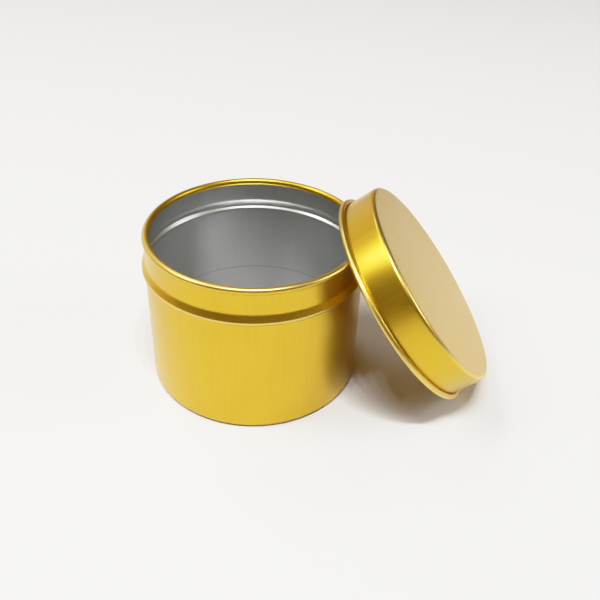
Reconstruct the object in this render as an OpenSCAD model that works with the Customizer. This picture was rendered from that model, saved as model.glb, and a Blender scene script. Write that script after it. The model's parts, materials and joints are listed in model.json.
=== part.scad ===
/* [Sheet metal] */
// Thickness of the tinplate that both pieces are drawn from
sheet = 0.25; // [0.2:0.01:0.35]

/* [Tin body] */
// Height of the open tin, from the table to the top of its rolled rim
tin_h = 57.2; // [52:0.1:80]
// Outer diameter of the straight body wall
body_d = 75.5; // [75.3:0.1:76]
// Outer diameter of the neck that the lid slides over
neck_d = 74.7; // [74.3:0.1:75]
// Outer radius of the corner between the base and the wall
base_corner_r = 1.9; // [1:0.1:3]

/* [Rolled rim] */
// Outer diameter over the rolled rim
rim_d = 75.5; // [75.3:0.1:75.7]
// Thickness of the roll, from its outside to its inside
rim_roll_d = 2.4; // [2.2:0.1:3]

/* [Stop bead] */
// Outer diameter over the bead that stops the lid
bead_d = 77.4; // [77:0.1:78]
// Height of the bead's crown above the table
bead_z = 45.2; // [40:0.1:46]
// Slope of the shoulder above the crown, from the vertical
shoulder_angle = 30; // [26:1:36]
// Slope of the flank below the crown, from the vertical
flank_angle = 45; // [40:1:55]

/* [Base panel] */
// Diameter of the raised flat panel inside the foot ring
panel_d = 66; // [50:1:67]
// How far the panel stands above the foot ring
panel_rise = 0.7; // [0.4:0.1:1]

/* [Lid] */
// Height of the lid over its flat top
lid_h = 13.3; // [10:0.1:16]
// Outer diameter of the lid's skirt
lid_d = 76.3; // [76.1:0.1:76.5]
// Outer radius of the edge between the lid's top and its skirt
lid_edge_r = 1.4; // [0.8:0.1:2]
// Thickness of the roll around the lid's open edge
lid_roll_d = 2.1; // [1.8:0.1:2.4]

/* [Leaning lid] */
// Tilt of the lid's top from level, as it leans on the tin
lean_angle = 51.6; // [51.6:0.1:60]
// Distance from the tin's axis to the centre of the lid's open edge
lean_x = 52.5; // [52.5:0.1:70]

/* [Hidden] */

// Turn of each straight step that a round stretch is drawn with
arc_step = 9;

half = sheet / 2;
gold = [0.83, 0.66, 0.2];

// Radii and heights here are those of the middle of the sheet
body_r = body_d / 2 - half;
neck_r = neck_d / 2 - half;
bead_r = bead_d / 2 - half;
foot_z = half;
panel_z = panel_rise + half;
panel_r = panel_d / 2;
panel_step_w = 1.2;
panel_fillet_r = 0.8;

// Crown of the bead: the tip is where the two slopes beside it would meet
crown_r = 0.9;
crown_half_turn = (shoulder_angle + flank_angle) / 2;
crown_tilt = (shoulder_angle - flank_angle) / 2;
tip_reach = crown_r / cos(crown_half_turn);
tip_r = bead_r - crown_r + tip_reach * cos(crown_tilt);
tip_z = bead_z + tip_reach * sin(crown_tilt);
shoulder_top_z = tip_z + (tip_r - neck_r) / tan(shoulder_angle);
flank_foot_z = tip_z - (tip_r - body_r) / tan(flank_angle);
shoulder_fillet_r = 2;
flank_fillet_r = 0.8;

// Rolled rim of the tin: the wall flares out at rim_flare, then rolls inwards
rim_flare = 45;
rim_flare_fillet_r = 0.25;
rim_mid_r = rim_roll_d / 2 - half;
rim_out_r = rim_d / 2 - half;
rim_axis_r = rim_out_r - rim_mid_r;
rim_axis_z = tin_h - rim_roll_d / 2;
rim_flare_end_z = rim_axis_z - rim_mid_r * tan(rim_flare / 2);
rim_flare_start_z = rim_flare_end_z - (rim_out_r - neck_r) / tan(rim_flare);
rim_tail = 20;

// Roll of the lid: the skirt rolls outwards until its cut edge is tucked behind it
skirt_r = lid_d / 2 - half;
lid_mid_r = lid_roll_d / 2 - half;
lid_out_r = skirt_r + 2 * lid_mid_r;
lid_axis_r = skirt_r + lid_mid_r;
lid_axis_z = lid_roll_d / 2;
lid_top_z = lid_h - half;
lid_tail = 35;

// Height at which the roll of the leaning lid just rests on the table
lean_z = lid_axis_r * sin(lean_angle) + lid_axis_z * (1 - cos(lean_angle));

function heading(a, b) = atan2(b[1] - a[1], b[0] - a[0]);

// Difference of two headings, between -180 and 180
function turn(a, b) = let (d = b - a) d > 180 ? d - 360 : d < -180 ? d + 360 : d;

// Samples [x, z, heading] round corner i of a path whose points are [x, z, corner radius]
function corner(path, i) =
    let (
        into = heading(path[i - 1], path[i]),
        bend = turn(into, heading(path[i], path[i + 1])),
        side = sign(bend),
        reach = path[i][2] * tan(abs(bend) / 2),
        start = [path[i][0] - reach * cos(into), path[i][1] - reach * sin(into)],
        steps = ceil(abs(bend) / arc_step),
        r = path[i][2] * side
    )
    [
        for (k = [0:steps])
            let (h = into + bend * k / steps)
            [
                start[0] + r * (sin(h) - sin(into)),
                start[1] - r * (cos(h) - cos(into)),
                h
            ]
    ];

// Every sample along a path: its first point, its rounded corners and its last point
function samples(path) =
    let (last = len(path) - 1)
    [
        [path[0][0], path[0][1], heading(path[0], path[1])],
        for (i = [1:last - 1]) each corner(path, i),
        [path[last][0], path[last][1], heading(path[last - 1], path[last])]
    ];

// The point beside a sample, at a distance to its left
function beside(s, d) = [s[0] - d * sin(s[2]), s[1] + d * cos(s[2])];

// A bowl of sheet metal, spun from a path along the middle of the sheet
module spun_sheet(path) {
    line = samples(path);
    left = [for (s = line) beside(s, half)];
    right = [for (i = [len(line) - 1:-1:0]) beside(line[i], -half)];
    rotate_extrude($fn = 180)
        polygon(concat(left, right));
}

// The end of a roll that goes on round its own tube by one more small turn
function roll_end(x, z, r, into, bend) =
    let (reach = r * tan(abs(bend) / 2))
    [
        [x + reach * cos(into), z + reach * sin(into), r],
        [
            x + reach * (cos(into) + cos(into + bend)),
            z + reach * (sin(into) + sin(into + bend))
        ]
    ];

tin_path = concat(
    [
        [0, panel_z],
        [panel_r, panel_z, panel_fillet_r],
        [panel_r + panel_step_w, foot_z, panel_fillet_r],
        [body_r, foot_z, base_corner_r - half],
        [body_r, flank_foot_z, flank_fillet_r],
        [tip_r, tip_z, crown_r],
        [neck_r, shoulder_top_z, shoulder_fillet_r],
        [neck_r, rim_flare_start_z, rim_flare_fillet_r],
        [rim_out_r, rim_flare_end_z, rim_mid_r],
        [rim_out_r, tin_h - half, rim_mid_r],
        [rim_axis_r - rim_mid_r, tin_h - half, rim_mid_r],
        [rim_axis_r - rim_mid_r, rim_axis_z - rim_mid_r, rim_mid_r]
    ],
    roll_end(rim_axis_r, rim_axis_z - rim_mid_r, rim_mid_r, 0, rim_tail)
);

lid_path = concat(
    [
        [0, lid_top_z],
        [skirt_r, lid_top_z, lid_edge_r - half],
        [skirt_r, half, lid_mid_r],
        [lid_out_r, half, lid_mid_r],
        [lid_out_r, lid_roll_d - half, lid_mid_r]
    ],
    roll_end(lid_axis_r, lid_roll_d - half, lid_mid_r, 180, lid_tail)
);

// The drawn tin, standing on its foot ring
module tin_body() {
    color(gold) spun_sheet(tin_path);
}

// The slip lid, leaning on the rim with its roll on the table
module lid() {
    color(gold)
        translate([lean_x, 0, lean_z])
            rotate([0, lean_angle, 0])
                spun_sheet(lid_path);
}

tin_body();
lid();
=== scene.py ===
"""Looks of a gold candle tin: an open drawn tin and the slip lid that leans on its rim.

The tin, its lid and the marks on them are in millimetres, as in the tin's design, and MM turns them into
Blender's metres. The studio around them is in metres.
"""

import json
from math import atan2, ceil, cos, pi, radians, sin, tan, tau

import bmesh
import bpy
from mathutils import Matrix, Vector


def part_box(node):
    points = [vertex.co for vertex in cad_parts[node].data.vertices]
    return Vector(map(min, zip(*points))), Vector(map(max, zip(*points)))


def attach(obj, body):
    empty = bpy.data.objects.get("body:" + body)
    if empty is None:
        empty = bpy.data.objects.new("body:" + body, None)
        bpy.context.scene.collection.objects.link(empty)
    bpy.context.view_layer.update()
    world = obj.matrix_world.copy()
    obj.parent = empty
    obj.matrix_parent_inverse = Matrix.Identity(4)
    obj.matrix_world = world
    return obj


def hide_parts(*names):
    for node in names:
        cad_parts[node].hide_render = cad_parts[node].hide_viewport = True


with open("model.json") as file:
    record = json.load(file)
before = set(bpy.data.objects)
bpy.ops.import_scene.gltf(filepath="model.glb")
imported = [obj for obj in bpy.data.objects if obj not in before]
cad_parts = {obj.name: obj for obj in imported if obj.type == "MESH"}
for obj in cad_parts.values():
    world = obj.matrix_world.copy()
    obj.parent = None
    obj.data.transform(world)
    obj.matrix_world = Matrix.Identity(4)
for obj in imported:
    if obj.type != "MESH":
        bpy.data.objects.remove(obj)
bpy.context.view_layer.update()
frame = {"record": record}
MM = 0.001


# ---------------------------------------------------------------- design values

# The tin's highest corner and the lid's place come from the CAD model
tin_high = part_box("tin_body")[1] / MM
mounts = {mount["name"]: mount for mount in frame["record"]["mounts"]}

SHEET = 0.25
HALF = SHEET / 2
GRAIN = 1.2          # longest stretch between two rings of a flat or straight face
ARC_STEP = 9         # degrees that a round stretch turns between two rings
SPOKES = 288         # faces around each piece

# Tin body: radii and heights of the middle of the sheet, slopes and turns in degrees
TIN_H = tin_high.z
BEAD_R = tin_high.x - HALF
BODY_R = 75.5 / 2 - HALF
NECK_R = 74.7 / 2 - HALF
BASE_CORNER_R = 1.9
BEAD_Z = 45.2
CROWN_R = 0.9
SHOULDER_ANGLE = 30
FLANK_ANGLE = 45
SHOULDER_FILLET_R = 2.0
FLANK_FILLET_R = 0.8
RIM_R = 75.5 / 2 - HALF
RIM_TUBE_R = 2.4 / 2 - HALF
RIM_FLARE = 45
RIM_FLARE_FILLET_R = 0.25
RIM_TAIL = 20
FOOT_Z = HALF
PANEL_Z = 0.7 + HALF
PANEL_R = 33.0
PANEL_STEP_W = 1.2
PANEL_FILLET_R = 0.8

# Lid
LID_H = 13.3
LID_R = 76.3 / 2 - HALF
LID_EDGE_R = 1.4
LID_TUBE_R = 2.1 / 2 - HALF
LID_TAIL = 35

# Unevenness of the drawn sheet: waves around, turn per millimetre, phase and height of each ripple
TIN_WAVES = [(3, 0.05, 0.4, 0.03), (7, 0.13, 1.9, 0.01), (13, 0.3, 4.1, 0.004)]
LID_WAVES = [(3, 0.1, 2.4, 0.02), (5, 0.2, 0.9, 0.012), (11, 0.4, 3.3, 0.004)]
RIPPLE_FULL_R = 20   # radius from which the ripples have their full height

# Marks: a scratch on the lid's top, from use; the rings (r, z, reach) where the sheet is bent sharply, which
# get a painted highlight as paler, thinner lacquer; and a painted reflection round the inside, a darker ring
# over a bluer tint
SCRATCH_MIDDLE = (-23.4, -3.0, LID_H)
SCRATCH_HEADING = 26
SCRATCH_LENGTH = 9
SCRATCH_WIDTH = 0.9
# Rings of painted highlight: the tin's rim top and bead crown, the lid's top edge and its roll
TIN_HIGHLIGHT_RINGS = [(RIM_R - 0.4, TIN_H, 1.4), (BEAD_R, BEAD_Z, 0.5)]
LID_HIGHLIGHT_RINGS = [(LID_R - 0.3, LID_H - 0.3, 1.0), (LID_R + 2 * LID_TUBE_R, 1.0, 1.1)]
# Painted reflection inside the tin: height and width of a darker ring, with a bluer tint below it
REFLECTION_RING_Z = 17
REFLECTION_RING_WIDTH = 0.8


# ---------------------------------------------------------------- sheet profiles

def heading(a, b):
    return atan2(b[1] - a[1], b[0] - a[0])


def turn_between(a, b):
    """The turn from one heading to another, between half a turn each way."""
    return (b - a + pi) % tau - pi


def rounded(path):
    """Samples (r, z, heading) along a path of (r, z, corner radius), its corners rounded."""
    line = [(path[0][0], path[0][1], heading(path[0], path[1]))]
    for before, at, after in zip(path, path[1:], path[2:]):
        into = heading(before, at)
        bend = turn_between(into, heading(at, after))
        radius = at[2] * (1 if bend > 0 else -1)
        reach = at[2] * tan(abs(bend) / 2)
        start = (at[0] - reach * cos(into), at[1] - reach * sin(into))
        steps = max(2, ceil(abs(bend) / radians(ARC_STEP)))
        for k in range(steps + 1):
            h = into + bend * k / steps
            line.append((
                start[0] + radius * (sin(h) - sin(into)),
                start[1] - radius * (cos(h) - cos(into)),
                h,
            ))
    line.append((path[-1][0], path[-1][1], heading(path[-2], path[-1])))
    return line


def with_grain(line):
    """The same samples, with more of them on the long straight stretches."""
    fine = [line[0]]
    for a, b in zip(line, line[1:]):
        length = ((b[0] - a[0]) ** 2 + (b[1] - a[1]) ** 2) ** 0.5
        steps = ceil(length / GRAIN)
        for k in range(1, steps + 1):
            t = k / steps
            h = b[2] if k == steps else a[2]
            fine.append((a[0] + (b[0] - a[0]) * t, a[1] + (b[1] - a[1]) * t, h))
    return fine


def beside(sample, distance):
    """The point beside a sample, at a distance to its left."""
    r, z, h = sample
    return max(r - distance * sin(h), 0.0), z + distance * cos(h)


def roll_end(r, z, tube_r, into, bend):
    """Path points that carry a roll on round its own tube by one more small turn."""
    reach = tube_r * tan(abs(bend) / 2)
    return [
        (r + reach * cos(into), z + reach * sin(into), tube_r),
        (
            r + reach * (cos(into) + cos(into + bend)),
            z + reach * (sin(into) + sin(into + bend)),
        ),
    ]


def tin_path():
    """From the middle of the base, out, up over the stop bead and the neck, and round the rolled rim."""
    half_turn = radians(SHOULDER_ANGLE + FLANK_ANGLE) / 2
    tilt = radians(SHOULDER_ANGLE - FLANK_ANGLE) / 2
    tip_reach = CROWN_R / cos(half_turn)
    tip_r = BEAD_R - CROWN_R + tip_reach * cos(tilt)
    tip_z = BEAD_Z + tip_reach * sin(tilt)
    shoulder_top_z = tip_z + (tip_r - NECK_R) / tan(radians(SHOULDER_ANGLE))
    flank_foot_z = tip_z - (tip_r - BODY_R) / tan(radians(FLANK_ANGLE))
    axis_r = RIM_R - RIM_TUBE_R
    axis_z = TIN_H - HALF - RIM_TUBE_R
    flare_end_z = axis_z - RIM_TUBE_R * tan(radians(RIM_FLARE) / 2)
    flare_start_z = flare_end_z - (RIM_R - NECK_R) / tan(radians(RIM_FLARE))
    return [
        (0, PANEL_Z),
        (PANEL_R, PANEL_Z, PANEL_FILLET_R),
        (PANEL_R + PANEL_STEP_W, FOOT_Z, PANEL_FILLET_R),
        (BODY_R, FOOT_Z, BASE_CORNER_R - HALF),
        (BODY_R, flank_foot_z, FLANK_FILLET_R),
        (tip_r, tip_z, CROWN_R),
        (NECK_R, shoulder_top_z, SHOULDER_FILLET_R),
        (NECK_R, flare_start_z, RIM_FLARE_FILLET_R),
        (RIM_R, flare_end_z, RIM_TUBE_R),
        (RIM_R, TIN_H - HALF, RIM_TUBE_R),
        (axis_r - RIM_TUBE_R, TIN_H - HALF, RIM_TUBE_R),
        (axis_r - RIM_TUBE_R, axis_z - RIM_TUBE_R, RIM_TUBE_R),
        *roll_end(axis_r, axis_z - RIM_TUBE_R, RIM_TUBE_R, 0, radians(RIM_TAIL)),
    ]


def lid_path():
    """From the middle of the lid's top, out, down the skirt, and round the rolled edge."""
    outer_r = LID_R + 2 * LID_TUBE_R
    roll_top_z = HALF + 2 * LID_TUBE_R
    return [
        (0, LID_H - HALF),
        (LID_R, LID_H - HALF, LID_EDGE_R - HALF),
        (LID_R, HALF, LID_TUBE_R),
        (outer_r, HALF, LID_TUBE_R),
        (outer_r, roll_top_z, LID_TUBE_R),
        *roll_end(LID_R + LID_TUBE_R, roll_top_z, LID_TUBE_R, pi, radians(LID_TAIL)),
    ]


# ---------------------------------------------------------------- spun sheet

OUTSIDE, INSIDE = 0, 1


def ripple(r, z, angle, waves):
    """Tiny unevenness of drawn sheet, out along the radius and up."""
    out = sum(a * sin(n * angle + k * z + p) for n, k, p, a in waves)
    up = sum(a * sin(n * angle + k * r + p * 2) for n, k, p, a in waves)
    share = min(r / RIPPLE_FULL_R, 1)
    return out * share, up * share


def spun_sheet(name, path, left_zone, right_zone, waves):
    """A closed bowl of sheet metal, spun from a path along the middle of the sheet."""
    line = with_grain(rounded(path))
    left = [(*beside(s, HALF), left_zone) for s in line]
    right = [(*beside(s, -HALF), right_zone) for s in reversed(line)]
    outline = left + right

    bm = bmesh.new()
    rings = []
    for r, z, _ in outline:
        spokes = 1 if r == 0 else SPOKES
        ring = []
        for k in range(spokes):
            angle = tau * k / SPOKES
            out, up = ripple(r, z, angle, waves)
            ring.append(bm.verts.new((
                (r + out) * cos(angle) * MM,
                (r + out) * sin(angle) * MM,
                (z + up) * MM,
            )))
        rings.append(ring)
    for i, (a, b) in enumerate(zip(rings, rings[1:])):
        zone = outline[i + 1][2]
        for k in range(SPOKES):
            n = (k + 1) % SPOKES
            if len(a) == 1:
                face = bm.faces.new((a[0], b[n], b[k]))
            elif len(b) == 1:
                face = bm.faces.new((a[k], a[n], b[0]))
            else:
                face = bm.faces.new((a[k], a[n], b[n], b[k]))
            face.material_index = zone
            face.smooth = True
    bmesh.ops.recalc_face_normals(bm, faces=bm.faces)
    mesh = bpy.data.meshes.new(name)
    bm.to_mesh(mesh)
    bm.free()
    piece = bpy.data.objects.new(name, mesh)
    bpy.context.scene.collection.objects.link(piece)
    return piece


# ---------------------------------------------------------------- materials

# Colours, as linear red, green and blue
LACQUER_DEEP = (0.60, 0.376, 0.022)
LACQUER_PALE = (0.66, 0.422, 0.027)
# Painted highlight on the sharp bends: paler, thinner lacquer
LACQUER_THIN_HIGHLIGHT = (0.80, 0.65, 0.22)
SCRATCH_COLOUR = (0.22, 0.15, 0.02)
TINPLATE_DEEP = (0.57, 0.585, 0.565)
TINPLATE_PALE = (0.61, 0.625, 0.605)
# Painted reflection inside the tin: the bluer tint below the ring, and the darker ring
REFLECTION_BELOW_COLOUR = (0.61, 0.61, 0.62)
REFLECTION_RING_COLOUR = (0.42, 0.41, 0.46)

# Noise scales, per metre, and how the drawing streaks are stretched along the tin's axis
GOLD_STREAKS = 900
GOLD_CLOUD = 55
GOLD_GRAIN = 5200
TINPLATE_STREAKS = 700
TINPLATE_CLOUD = 60
DRAWN_OUT = (1, 1, 0.04)
NOISE_MIDDLE = (0.3, 0.7)   # range in which nearly all of a noise lies

# How far the scratch and the painted highlight cover the lacquer, the streaks' share beside clouds or grain,
# the roughness ranges, and the bump, whose depth is in millimetres
MARK_AND_HIGHLIGHT_COVER = 0.7
GOLD_STREAK_SHARE = 0.5
GOLD_BUMP_SHARE = 0.7
TINPLATE_STREAK_SHARE = 0.4
GOLD_ROUGHNESS = (0.30, 0.36)
TINPLATE_ROUGHNESS = (0.32, 0.35)
BUMP_STRENGTH = 0.05
BUMP_DEPTH = 0.02


class Nodes:
    """A short way to write the node tree of a material or of the world."""

    def __init__(self, owner):
        self.owner = owner
        owner.use_nodes = True
        self.tree = owner.node_tree
        self.tree.nodes.clear()

    def add(self, kind, inputs=None, **settings):
        node = self.tree.nodes.new(kind)
        for key, value in settings.items():
            setattr(node, key, value)
        for key, value in (inputs or {}).items():
            if isinstance(value, bpy.types.NodeSocket):
                self.tree.links.new(value, node.inputs[key])
            else:
                node.inputs[key].default_value = value
        return node

    def math(self, operation, a, b=0.0):
        return self.add("ShaderNodeMath", {0: a, 1: b}, operation=operation).outputs[0]

    def mixed(self, a, b, share):
        """A share of one value, and the rest of the other."""
        return self.math("ADD", self.math("MULTIPLY", a, share), self.math("MULTIPLY", b, 1 - share))

    def spread(self, value, low, high, from_low=0.0, from_high=1.0, **settings):
        inputs = {"Value": value, "From Min": from_low, "From Max": from_high, "To Min": low, "To Max": high}
        return self.add("ShaderNodeMapRange", inputs, **settings).outputs["Result"]

    def place(self):
        """The place on the piece, in its own frame."""
        return self.add("ShaderNodeTexCoord").outputs["Object"]

    def noise(self, scale, detail, stretch=(1, 1, 1)):
        bent = self.add("ShaderNodeMapping", {"Vector": self.place(), "Scale": stretch}).outputs["Vector"]
        inputs = {"Vector": bent, "Scale": scale, "Detail": detail}
        return self.add("ShaderNodeTexNoise", inputs).outputs["Fac"]

    def colour(self, factor, a, b, start=0.0, end=1.0):
        """One colour up to the start, the other from the end, and an even change between them."""
        ramp = self.add("ShaderNodeValToRGB", {"Fac": factor})
        for element, tint, position in zip(ramp.color_ramp.elements, (a, b), (start, end)):
            element.color = (*tint, 1)
            element.position = position
        return ramp.outputs["Color"]

    def cover(self, factor, under, colour):
        """A colour laid over what is under it."""
        inputs = {"Factor": factor, 6: under, 7: (*colour, 1)}
        return self.add("ShaderNodeMix", inputs, data_type="RGBA").outputs[2]

    def bump(self, height):
        inputs = {"Height": height, "Strength": BUMP_STRENGTH, "Distance": BUMP_DEPTH * MM}
        return self.add("ShaderNodeBump", inputs).outputs["Normal"]

    def length(self, a, b):
        squares = self.math("ADD", self.math("MULTIPLY", a, a), self.math("MULTIPLY", b, b))
        return self.math("SQRT", squares)

    def near(self, value, centre, reach):
        """One where a value is at the centre, falling to nothing at the reach on either side."""
        off = self.math("ABSOLUTE", self.math("SUBTRACT", value, centre))
        return self.spread(off, 1, 0, 0, reach)

    def finish(self, shader):
        self.add("ShaderNodeOutputMaterial", {"Surface": shader.outputs["BSDF"]})
        return self.owner


def scratch(n):
    """One faint scratch on the top of the lid: one along its middle, nothing away from it."""
    inputs = {
        "Vector": n.place(),
        "Location": Vector(SCRATCH_MIDDLE) * MM,
        "Rotation": (0, 0, radians(SCRATCH_HEADING)),
    }
    along = n.add("ShaderNodeMapping", inputs, vector_type="TEXTURE").outputs["Vector"]
    ways = n.add("ShaderNodeSeparateXYZ", {0: along}).outputs
    mask = n.near(ways["X"], 0, SCRATCH_LENGTH / 2 * MM)
    mask = n.math("MULTIPLY", mask, n.near(ways["Y"], 0, SCRATCH_WIDTH / 2 * MM))
    return n.math("MULTIPLY", mask, n.near(ways["Z"], 0, SHEET * MM))


def thin_lacquer_highlight(n, highlight_rings):
    """Painted highlight: one on each ring (r, z, reach) where the sheet is bent sharply, nothing a reach
    away from it.
    """
    ways = n.add("ShaderNodeSeparateXYZ", {0: n.place()}).outputs
    out = n.length(ways["X"], ways["Y"])
    painted_highlight = 0.0
    for ring_r, ring_z, reach in highlight_rings:
        off = n.length(n.math("SUBTRACT", out, ring_r * MM), n.math("SUBTRACT", ways["Z"], ring_z * MM))
        painted_highlight = n.math("MAXIMUM", n.spread(off, 1, 0, 0, reach * MM), painted_highlight)
    return painted_highlight


def gold_lacquer(name, highlight_rings):
    """Clear gold lacquer over bright metal, with fine drawing streaks, and a painted highlight on the sharp
    bends.
    """
    n = Nodes(bpy.data.materials.new(name))
    streaks = n.noise(GOLD_STREAKS, 3, DRAWN_OUT)
    cloud = n.noise(GOLD_CLOUD, 3)
    grain = n.noise(GOLD_GRAIN, 1)
    tone = n.spread(n.mixed(streaks, cloud, GOLD_STREAK_SHARE), 0, 1, *NOISE_MIDDLE)
    lacquer = n.colour(tone, LACQUER_DEEP, LACQUER_PALE)
    marked = n.cover(n.math("MULTIPLY", scratch(n), MARK_AND_HIGHLIGHT_COVER), lacquer, SCRATCH_COLOUR)
    # Painted highlight: the sharp bends are paler, as thinner lacquer
    base = n.cover(n.math("MULTIPLY", thin_lacquer_highlight(n, highlight_rings), MARK_AND_HIGHLIGHT_COVER), marked, LACQUER_THIN_HIGHLIGHT)
    shader = n.add("ShaderNodeBsdfPrincipled", {
        "Base Color": base,
        "Metallic": 1.0,
        "Roughness": n.spread(tone, *GOLD_ROUGHNESS),
        "Normal": n.bump(n.mixed(streaks, grain, GOLD_BUMP_SHARE)),
        "Coat Weight": 0.14,
        "Coat Roughness": 0.12,
        "Coat IOR": 1.5,
    })
    return n.finish(shader)


def bare_tinplate():
    """Bare tinned metal, with a painted reflection round the inside: a darker ring, and a bluer tint below
    it.
    """
    n = Nodes(bpy.data.materials.new("bare_tinplate"))
    streaks = n.noise(TINPLATE_STREAKS, 3, DRAWN_OUT)
    cloud = n.noise(TINPLATE_CLOUD, 3)
    tone = n.spread(n.mixed(streaks, cloud, TINPLATE_STREAK_SHARE), 0, 1, *NOISE_MIDDLE)
    clean = n.colour(tone, TINPLATE_DEEP, TINPLATE_PALE)
    up = n.add("ShaderNodeSeparateXYZ", {0: n.place()}).outputs["Z"]
    # Painted reflection: a bluer tint below the ring, and the darker ring itself
    low = n.spread(up, 1, 0, (REFLECTION_RING_Z - REFLECTION_RING_WIDTH / 2) * MM, REFLECTION_RING_Z * MM)
    line = n.near(up, REFLECTION_RING_Z * MM, REFLECTION_RING_WIDTH / 2 * MM)
    shader = n.add("ShaderNodeBsdfPrincipled", {
        "Base Color": n.cover(line, n.cover(low, clean, REFLECTION_BELOW_COLOUR), REFLECTION_RING_COLOUR),
        "Metallic": 1.0,
        "Roughness": n.spread(tone, *TINPLATE_ROUGHNESS),
        "Normal": n.bump(streaks),
    })
    return n.finish(shader)


def plain(name, colour, roughness):
    n = Nodes(bpy.data.materials.new(name))
    shader = n.add("ShaderNodeBsdfPrincipled", {"Base Color": (*colour, 1), "Roughness": roughness})
    return n.finish(shader)


# ---------------------------------------------------------------- pieces

def make_tin(gold, tinplate):
    """The open tin, gold outside and bare inside."""
    tin = spun_sheet("tin", tin_path(), INSIDE, OUTSIDE, TIN_WAVES)
    tin.data.materials.append(gold)
    tin.data.materials.append(tinplate)
    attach(tin, "tin")
    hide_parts("tin_body")


def make_lid(gold):
    """The lid, gold on both faces, put where the CAD lid's top is and leaning as it does."""
    lid = spun_sheet("slip_lid", lid_path(), OUTSIDE, OUTSIDE, LID_WAVES)
    lid.data.materials.append(gold)
    out = Vector(mounts["lid_top"]["axis"])
    top = Vector(mounts["lid_top"]["pos_m"])
    lean = atan2(out.x, out.z)
    lid.matrix_world = Matrix.Translation(top - out * LID_H * MM) @ Matrix.Rotation(lean, 4, "Y")
    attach(lid, "lid")
    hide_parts("lid")


# ---------------------------------------------------------------- studio

FLOOR_REACH = 6
FLOOR_COLOUR = (0.82, 0.82, 0.81)
FLOOR_ROUGHNESS = 0.6

# Row of small lamps overhead, from left to right, and their powers in watts
LAMP_FIRST_X = -0.434
LAMP_STEP = 0.126
LAMP_Y = -0.504
LAMP_Z = 1.68
LAMP_AIM_Y = -0.2
LAMP_SIZE = (0.042, 0.084)
LAMP_POWERS = (2.2, 2.8, 3.6, 4.6, 5.6, 6.2, 7.0)

# Soft panes around the tin: name, place, size and power
PANES = [
    ("back_pane", (-0.70, 0.90, 1.60), (0.5, 0.5), 4),
    ("left_pane", (-1.10, -0.25, 1.20), (0.5, 0.5), 8),
    ("skylight", (-1.20, 0.15, 1.90), (0.4, 0.4), 7),
    ("right_pane", (1.40, -0.05, 0.85), (0.6, 0.5), 7),
]
PANE_AIM = (0, 0, 0.03)

# Room light by direction: a direction's Z is its height, and its Y - X is how far it looks to the back left
WALL_LIGHT = 0.19
CEILING_LIGHT = 0.10
CEILING_RISE = (0.45, 0.75)      # heights between which wall turns to ceiling
BACK_LEFT_GAIN = 5.5
BACK_LEFT_RISE = (0.5, 1.3)      # Y - X over which the light grows by that gain
LOW_TINT = (1, 0.60, 0.20)
WHITE = (1, 1, 1)
TINT_FADE = (0.46, 0.58)         # heights between which the warm tint goes
BACK_LEFT_AS_HEIGHT = 0.42       # height that one unit of Y - X counts as, for the tint
BACKDROP_COLOUR = (0.62, 0.62, 0.61, 1)

# Tone curve: shown brightness for each scene brightness, on a curve that ends at TONE_WHITE
TONE_WHITE = 2.0
TONE_POINTS = [(0.3, 0.3), (0.6, 0.56), (1.0, 0.80), (1.5, 0.93)]

# Camera: place, sensor and focal length in millimetres, turns in degrees, nearest sight in metres
CAMERA_PLACE = (20.41, -207.84, 177.08)
CAMERA_YAW = -1.125
CAMERA_PITCH = 35.718
CAMERA_ROLL = 2.25
SENSOR_WIDTH = 36
FOCAL_LENGTH = 42.39
CLIP_START = 0.01

MAX_BOUNCES = 24
GLOSSY_BOUNCES = 20


def make_floor():
    bm = bmesh.new()
    bmesh.ops.create_grid(bm, x_segments=8, y_segments=8, size=FLOOR_REACH)
    mesh = bpy.data.meshes.new("floor")
    bm.to_mesh(mesh)
    bm.free()
    floor = bpy.data.objects.new("floor", mesh)
    floor.data.materials.append(plain("white_table", FLOOR_COLOUR, FLOOR_ROUGHNESS))
    bpy.context.scene.collection.objects.link(floor)


def area_light(name, place, target, size, power):
    light = bpy.data.lights.new(name, "AREA")
    light.shape = "RECTANGLE"
    light.size, light.size_y = size
    light.energy = power
    lamp = bpy.data.objects.new(name, light)
    lamp.location = place
    lamp.rotation_mode = "QUATERNION"
    lamp.rotation_quaternion = (Vector(target) - Vector(place)).to_track_quat("-Z", "Y")
    bpy.context.scene.collection.objects.link(lamp)


def make_lights():
    """A row of small lamps overhead and the soft panes around the tin."""
    for k, power in enumerate(LAMP_POWERS):
        x = LAMP_FIRST_X + k * LAMP_STEP
        area_light(f"lamp_{k}", (x, LAMP_Y, LAMP_Z), (x, LAMP_AIM_Y, 0), LAMP_SIZE, power)
    for name, place, size, power in PANES:
        area_light(name, place, PANE_AIM, size, power)


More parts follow.
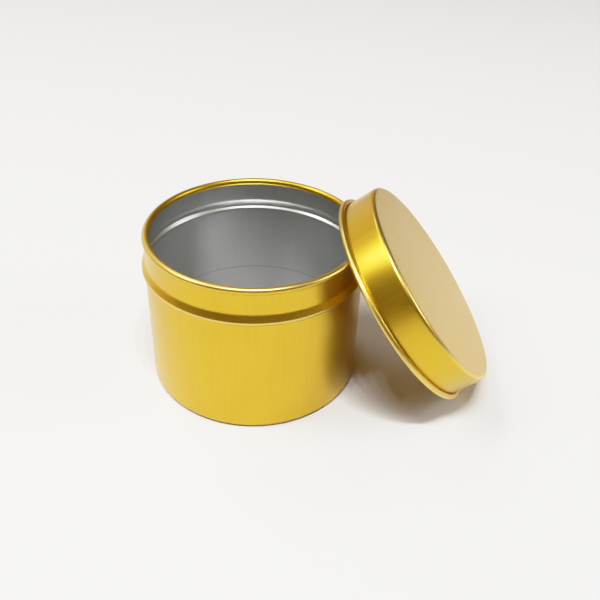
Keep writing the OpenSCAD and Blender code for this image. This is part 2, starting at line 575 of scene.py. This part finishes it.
def make_world():
    """Light from the room: a dim ceiling, walls brightest at the back left, and warm light low down.

    It lights the pieces and is mirrored in them, and behind them the camera sees a plain pale backdrop.
    """
    n = Nodes(bpy.data.worlds.new("studio"))
    way = n.add("ShaderNodeTexCoord").outputs["Generated"]
    ways = n.add("ShaderNodeSeparateXYZ", {0: way}).outputs
    back_left = n.math("SUBTRACT", ways["Y"], ways["X"])
    by_height = n.spread(
        ways["Z"], WALL_LIGHT, CEILING_LIGHT, *CEILING_RISE, interpolation_type="SMOOTHSTEP"
    )
    by_side = n.spread(back_left, 1, BACK_LEFT_GAIN, *BACK_LEFT_RISE)
    white_by = n.math("MAXIMUM", ways["Z"], n.math("MULTIPLY", back_left, BACK_LEFT_AS_HEIGHT))
    room = n.add("ShaderNodeBackground", {
        "Color": n.colour(white_by, LOW_TINT, WHITE, *TINT_FADE),
        "Strength": n.math("MULTIPLY", by_height, by_side),
    })
    backdrop = n.add("ShaderNodeBackground", {"Color": BACKDROP_COLOUR})
    seen = n.add("ShaderNodeMixShader", {
        0: n.add("ShaderNodeLightPath").outputs["Is Camera Ray"],
        1: room.outputs["Background"],
        2: backdrop.outputs["Background"],
    })
    n.add("ShaderNodeOutputWorld", {"Surface": seen.outputs["Shader"]})
    bpy.context.scene.world = n.owner


def set_tone():
    """A soft shoulder on the highlights, as a camera has."""
    view = bpy.context.scene.view_settings
    view.view_transform = "Standard"
    view.use_curve_mapping = True
    mapping = view.curve_mapping
    mapping.white_level = (TONE_WHITE,) * 3
    curve = mapping.curves[3]
    for x, y in TONE_POINTS:
        curve.points.new(x / TONE_WHITE, y)
    mapping.update()


def make_camera():
    """The camera, from where it stands and how it is turned."""
    place = Vector(CAMERA_PLACE) * MM
    yaw, pitch, roll = radians(CAMERA_YAW), radians(CAMERA_PITCH), radians(CAMERA_ROLL)
    ahead = Vector((sin(yaw) * cos(pitch), cos(yaw) * cos(pitch), -sin(pitch)))
    right = ahead.cross(Vector((0, 0, 1))).normalized()
    up = right.cross(ahead)
    right, up = cos(roll) * right + sin(roll) * up, cos(roll) * up - sin(roll) * right
    data = bpy.data.cameras.new("camera")
    data.sensor_width = SENSOR_WIDTH
    data.lens = FOCAL_LENGTH
    data.clip_start = CLIP_START
    camera = bpy.data.objects.new("camera", data)
    turned = Matrix((right, up, -ahead)).transposed().to_4x4()
    camera.matrix_world = Matrix.Translation(place) @ turned
    bpy.context.scene.collection.objects.link(camera)
    bpy.context.scene.camera = camera


make_tin(gold_lacquer("tin_lacquer", TIN_HIGHLIGHT_RINGS), bare_tinplate())
make_lid(gold_lacquer("lid_lacquer", LID_HIGHLIGHT_RINGS))
make_floor()
make_lights()
make_world()
make_camera()
set_tone()
bpy.context.scene.cycles.max_bounces = MAX_BOUNCES
bpy.context.scene.cycles.glossy_bounces = GLOSSY_BOUNCES
